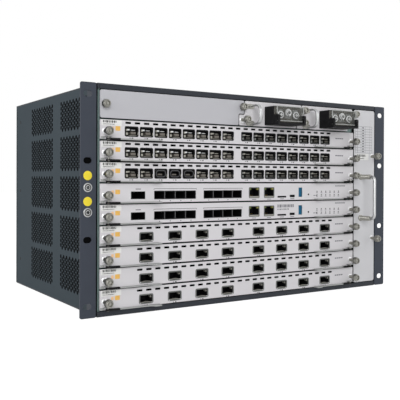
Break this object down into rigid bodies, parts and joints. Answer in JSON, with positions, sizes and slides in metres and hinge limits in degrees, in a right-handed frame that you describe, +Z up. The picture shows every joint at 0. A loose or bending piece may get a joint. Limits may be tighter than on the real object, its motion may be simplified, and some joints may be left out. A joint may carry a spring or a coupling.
{
  "type": "optical line terminal",
  "caption": "Rack-mounted optical line terminal: a sheet-metal chassis with slotted ears, plug-in port and control cards with ejector levers, power modules and a pull-out fan tray.",
  "frame": {"origin": "under the middle of the body, on the face it rests on, midway between the plane of the card front plates and the back", "axes": "+X to the right seen from the front, +Y to the back, +Z up"},
  "size_m": [0.4826, 0.327, 0.2639],
  "materials": {
    "slate_paint": "fine matt powder coat",
    "pale_plate": "fine matt powder coat",
    "zinc_sheet": "plain zinc plated sheet",
    "nickel": "bright nickel",
    "circuit_board": "solder mask with plated metal cages on it",
    "dark_plastic": "fine grained",
    "lever_steel": "bright zinc plated",
    "black_plastic": "fine grained",
    "clear_plastic": "clear moulded"
  },
  "bodies": {
    "chassis": {"left_side_panel": "slate_paint", "right_side_panel": "slate_paint", "top_cover": "slate_paint", "bottom_plate": "slate_paint", "rear_panel": "slate_paint", "left_mounting_ear": "slate_paint", "right_mounting_ear": "slate_paint", "earth_sockets": "nickel", "card_cage": "zinc_sheet", "backplane_board": "circuit_board", "blank_panel": "pale_plate"},
    "wide_port_card_1": {"wide_port_card_1_faceplate": "pale_plate", "wide_port_card_1_board": "circuit_board"},
    "wide_port_card_1_left_lever": {"wide_port_card_1_left_lever": "lever_steel"},
    "wide_port_card_1_right_lever": {"wide_port_card_1_right_lever": "lever_steel"},
    "wide_port_card_2": {"wide_port_card_2_faceplate": "pale_plate", "wide_port_card_2_board": "circuit_board"},
    "wide_port_card_2_left_lever": {"wide_port_card_2_left_lever": "lever_steel"},
    "wide_port_card_2_right_lever": {"wide_port_card_2_right_lever": "lever_steel"},
    "wide_port_card_3": {"wide_port_card_3_faceplate": "pale_plate", "wide_port_card_3_board": "circuit_board"},
    "wide_port_card_3_left_lever": {"wide_port_card_3_left_lever": "lever_steel"},
    "wide_port_card_3_right_lever": {"wide_port_card_3_right_lever": "lever_steel"},
    "wide_port_card_4": {"wide_port_card_4_faceplate": "pale_plate", "wide_port_card_4_board": "circuit_board"},
    "wide_port_card_4_left_lever": {"wide_port_card_4_left_lever": "lever_steel"},
    "wide_port_card_4_right_lever": {"wide_port_card_4_right_lever": "lever_steel"},
    "lower_control_card": {"lower_control_card_faceplate": "pale_plate", "lower_control_card_board": "circuit_board"},
    "lower_control_card_left_lever": {"lower_control_card_left_lever": "lever_steel"},
    "lower_control_card_right_lever": {"lower_control_card_right_lever": "lever_steel"},
    "lower_control_card_reset_button": {"lower_control_card_reset_button": "dark_plastic"},
    "upper_control_card": {"upper_control_card_faceplate": "pale_plate", "upper_control_card_board": "circuit_board"},
    "upper_control_card_left_lever": {"upper_control_card_left_lever": "lever_steel"},
    "upper_control_card_right_lever": {"upper_control_card_right_lever": "lever_steel"},
    "upper_control_card_reset_button": {"upper_control_card_reset_button": "dark_plastic"},
    "narrow_port_card_1": {"narrow_port_card_1_faceplate": "pale_plate", "narrow_port_card_1_board": "circuit_board"},
    "narrow_port_card_1_left_lever": {"narrow_port_card_1_left_lever": "lever_steel"},
    "narrow_port_card_1_right_lever": {"narrow_port_card_1_right_lever": "lever_steel"},
    "narrow_port_card_2": {"narrow_port_card_2_faceplate": "pale_plate", "narrow_port_card_2_board": "circuit_board"},
    "narrow_port_card_2_left_lever": {"narrow_port_card_2_left_lever": "lever_steel"},
    "narrow_port_card_2_right_lever": {"narrow_port_card_2_right_lever": "lever_steel"},
    "narrow_port_card_3": {"narrow_port_card_3_faceplate": "pale_plate", "narrow_port_card_3_board": "circuit_board"},
    "narrow_port_card_3_left_lever": {"narrow_port_card_3_left_lever": "lever_steel"},
    "narrow_port_card_3_right_lever": {"narrow_port_card_3_right_lever": "lever_steel"},
    "power_module_1": {"power_module_1": "pale_plate", "power_terminal_block_1": "black_plastic"},
    "power_terminal_cover_1": {"power_terminal_cover_1": "clear_plastic"},
    "power_module_2": {"power_module_2": "pale_plate", "power_terminal_block_2": "black_plastic"},
    "power_terminal_cover_2": {"power_terminal_cover_2": "clear_plastic"},
    "fan_tray": {"fan_tray": "pale_plate"},
    "fan_rotor_1": {"fan_rotor_1": "black_plastic"},
    "fan_rotor_2": {"fan_rotor_2": "black_plastic"},
    "fan_rotor_3": {"fan_rotor_3": "black_plastic"},
    "fan_rotor_4": {"fan_rotor_4": "black_plastic"}
  },
  "joints": [
    {"name": "wide_port_card_1_slide", "type": "slide", "parent": "chassis", "child": "wide_port_card_1", "axis": [0, -1, 0], "range_m": [0, 0.22]},
    {"name": "wide_port_card_1_left_lever_pivot", "type": "hinge", "parent": "wide_port_card_1", "child": "wide_port_card_1_left_lever", "pos_m": [-0.2088, -0.15225, 0.0083], "axis": [0, 0, -1], "range_deg": [0, 80]},
    {"name": "wide_port_card_1_right_lever_pivot", "type": "hinge", "parent": "wide_port_card_1", "child": "wide_port_card_1_right_lever", "pos_m": [0.1687, -0.15225, 0.0083], "axis": [0, 0, 1], "range_deg": [0, 80]},
    {"name": "wide_port_card_2_slide", "type": "slide", "parent": "chassis", "child": "wide_port_card_2", "axis": [0, -1, 0], "range_m": [0, 0.22]},
    {"name": "wide_port_card_2_left_lever_pivot", "type": "hinge", "parent": "wide_port_card_2", "child": "wide_port_card_2_left_lever", "pos_m": [-0.2088, -0.15225, 0.0325], "axis": [0, 0, -1], "range_deg": [0, 80]},
    {"name": "wide_port_card_2_right_lever_pivot", "type": "hinge", "parent": "wide_port_card_2", "child": "wide_port_card_2_right_lever", "pos_m": [0.1687, -0.15225, 0.0325], "axis": [0, 0, 1], "range_deg": [0, 80]},
    {"name": "wide_port_card_3_slide", "type": "slide", "parent": "chassis", "child": "wide_port_card_3", "axis": [0, -1, 0], "range_m": [0, 0.22]},
    {"name": "wide_port_card_3_left_lever_pivot", "type": "hinge", "parent": "wide_port_card_3", "child": "wide_port_card_3_left_lever", "pos_m": [-0.2088, -0.15225, 0.0567], "axis": [0, 0, -1], "range_deg": [0, 80]},
    {"name": "wide_port_card_3_right_lever_pivot", "type": "hinge", "parent": "wide_port_card_3", "child": "wide_port_card_3_right_lever", "pos_m": [0.1687, -0.15225, 0.0567], "axis": [0, 0, 1], "range_deg": [0, 80]},
    {"name": "wide_port_card_4_slide", "type": "slide", "parent": "chassis", "child": "wide_port_card_4", "axis": [0, -1, 0], "range_m": [0, 0.22]},
    {"name": "wide_port_card_4_left_lever_pivot", "type": "hinge", "parent": "wide_port_card_4", "child": "wide_port_card_4_left_lever", "pos_m": [-0.2088, -0.15225, 0.0809], "axis": [0, 0, -1], "range_deg": [0, 80]},
    {"name": "wide_port_card_4_right_lever_pivot", "type": "hinge", "parent": "wide_port_card_4", "child": "wide_port_card_4_right_lever", "pos_m": [0.1687, -0.15225, 0.0809], "axis": [0, 0, 1], "range_deg": [0, 80]},
    {"name": "lower_control_card_slide", "type": "slide", "parent": "chassis", "child": "lower_control_card", "axis": [0, -1, 0], "range_m": [0, 0.22]},
    {"name": "lower_control_card_left_lever_pivot", "type": "hinge", "parent": "lower_control_card", "child": "lower_control_card_left_lever", "pos_m": [-0.2088, -0.15225, 0.1051], "axis": [0, 0, -1], "range_deg": [0, 80]},
    {"name": "lower_control_card_right_lever_pivot", "type": "hinge", "parent": "lower_control_card", "child": "lower_control_card_right_lever", "pos_m": [0.1687, -0.15225, 0.1051], "axis": [0, 0, 1], "range_deg": [0, 80]},
    {"name": "lower_control_card_reset_button_press", "type": "slide", "parent": "lower_control_card", "child": "lower_control_card_reset_button", "axis": [0, 1, 0], "range_m": [0, 0.0004], "stiffness_N_per_m": 2000},
    {"name": "upper_control_card_slide", "type": "slide", "parent": "chassis", "child": "upper_control_card", "axis": [0, -1, 0], "range_m": [0, 0.22]},
    {"name": "upper_control_card_left_lever_pivot", "type": "hinge", "parent": "upper_control_card", "child": "upper_control_card_left_lever", "pos_m": [-0.2088, -0.15225, 0.1293], "axis": [0, 0, -1], "range_deg": [0, 80]},
    {"name": "upper_control_card_right_lever_pivot", "type": "hinge", "parent": "upper_control_card", "child": "upper_control_card_right_lever", "pos_m": [0.1687, -0.15225, 0.1293], "axis": [0, 0, 1], "range_deg": [0, 80]},
    {"name": "upper_control_card_reset_button_press", "type": "slide", "parent": "upper_control_card", "child": "upper_control_card_reset_button", "axis": [0, 1, 0], "range_m": [0, 0.0004], "stiffness_N_per_m": 2000},
    {"name": "narrow_port_card_1_slide", "type": "slide", "parent": "chassis", "child": "narrow_port_card_1", "axis": [0, -1, 0], "range_m": [0, 0.22]},
    {"name": "narrow_port_card_1_left_lever_pivot", "type": "hinge", "parent": "narrow_port_card_1", "child": "narrow_port_card_1_left_lever", "pos_m": [-0.2088, -0.15225, 0.1535], "axis": [0, 0, -1], "range_deg": [0, 80]},
    {"name": "narrow_port_card_1_right_lever_pivot", "type": "hinge", "parent": "narrow_port_card_1", "child": "narrow_port_card_1_right_lever", "pos_m": [0.1687, -0.15225, 0.1535], "axis": [0, 0, 1], "range_deg": [0, 80]},
    {"name": "narrow_port_card_2_slide", "type": "slide", "parent": "chassis", "child": "narrow_port_card_2", "axis": [0, -1, 0], "range_m": [0, 0.22]},
    {"name": "narrow_port_card_2_left_lever_pivot", "type": "hinge", "parent": "narrow_port_card_2", "child": "narrow_port_card_2_left_lever", "pos_m": [-0.2088, -0.15225, 0.1777], "axis": [0, 0, -1], "range_deg": [0, 80]},
    {"name": "narrow_port_card_2_right_lever_pivot", "type": "hinge", "parent": "narrow_port_card_2", "child": "narrow_port_card_2_right_lever", "pos_m": [0.1687, -0.15225, 0.1777], "axis": [0, 0, 1], "range_deg": [0, 80]},
    {"name": "narrow_port_card_3_slide", "type": "slide", "parent": "chassis", "child": "narrow_port_card_3", "axis": [0, -1, 0], "range_m": [0, 0.22]},
    {"name": "narrow_port_card_3_left_lever_pivot", "type": "hinge", "parent": "narrow_port_card_3", "child": "narrow_port_card_3_left_lever", "pos_m": [-0.2088, -0.15225, 0.2019], "axis": [0, 0, -1], "range_deg": [0, 80]},
    {"name": "narrow_port_card_3_right_lever_pivot", "type": "hinge", "parent": "narrow_port_card_3", "child": "narrow_port_card_3_right_lever", "pos_m": [0.1687, -0.15225, 0.2019], "axis": [0, 0, 1], "range_deg": [0, 80]},
    {"name": "power_module_1_slide", "type": "slide", "parent": "chassis", "child": "power_module_1", "axis": [0, -1, 0], "range_m": [0, 0.18]},
    {"name": "power_terminal_cover_1_hinge", "type": "hinge", "parent": "power_module_1", "child": "power_terminal_cover_1", "pos_m": [0.03885, -0.174, 0.2316], "axis": [1, 0, 0], "range_deg": [0, 100]},
    {"name": "power_module_2_slide", "type": "slide", "parent": "chassis", "child": "power_module_2", "axis": [0, -1, 0], "range_m": [0, 0.18]},
    {"name": "power_terminal_cover_2_hinge", "type": "hinge", "parent": "power_module_2", "child": "power_terminal_cover_2", "pos_m": [0.13485, -0.174, 0.2316], "axis": [1, 0, 0], "range_deg": [0, 100]},
    {"name": "fan_tray_slide", "type": "slide", "parent": "chassis", "child": "fan_tray", "axis": [0, -1, 0], "range_m": [0, 0.22]},
    {"name": "fan_rotor_1_spin", "type": "hinge", "parent": "fan_tray", "child": "fan_rotor_1", "pos_m": [0.1974, -0.08, 0.0676], "axis": [1, 0, 0], "continuous": true},
    {"name": "fan_rotor_2_spin", "type": "hinge", "parent": "fan_tray", "child": "fan_rotor_2", "pos_m": [0.1974, 0.0392, 0.0676], "axis": [1, 0, 0], "continuous": true},
    {"name": "fan_rotor_3_spin", "type": "hinge", "parent": "fan_tray", "child": "fan_rotor_3", "pos_m": [0.1974, -0.08, 0.1868], "axis": [1, 0, 0], "continuous": true},
    {"name": "fan_rotor_4_spin", "type": "hinge", "parent": "fan_tray", "child": "fan_rotor_4", "pos_m": [0.1974, 0.0392, 0.1868], "axis": [1, 0, 0], "continuous": true}
  ]
}
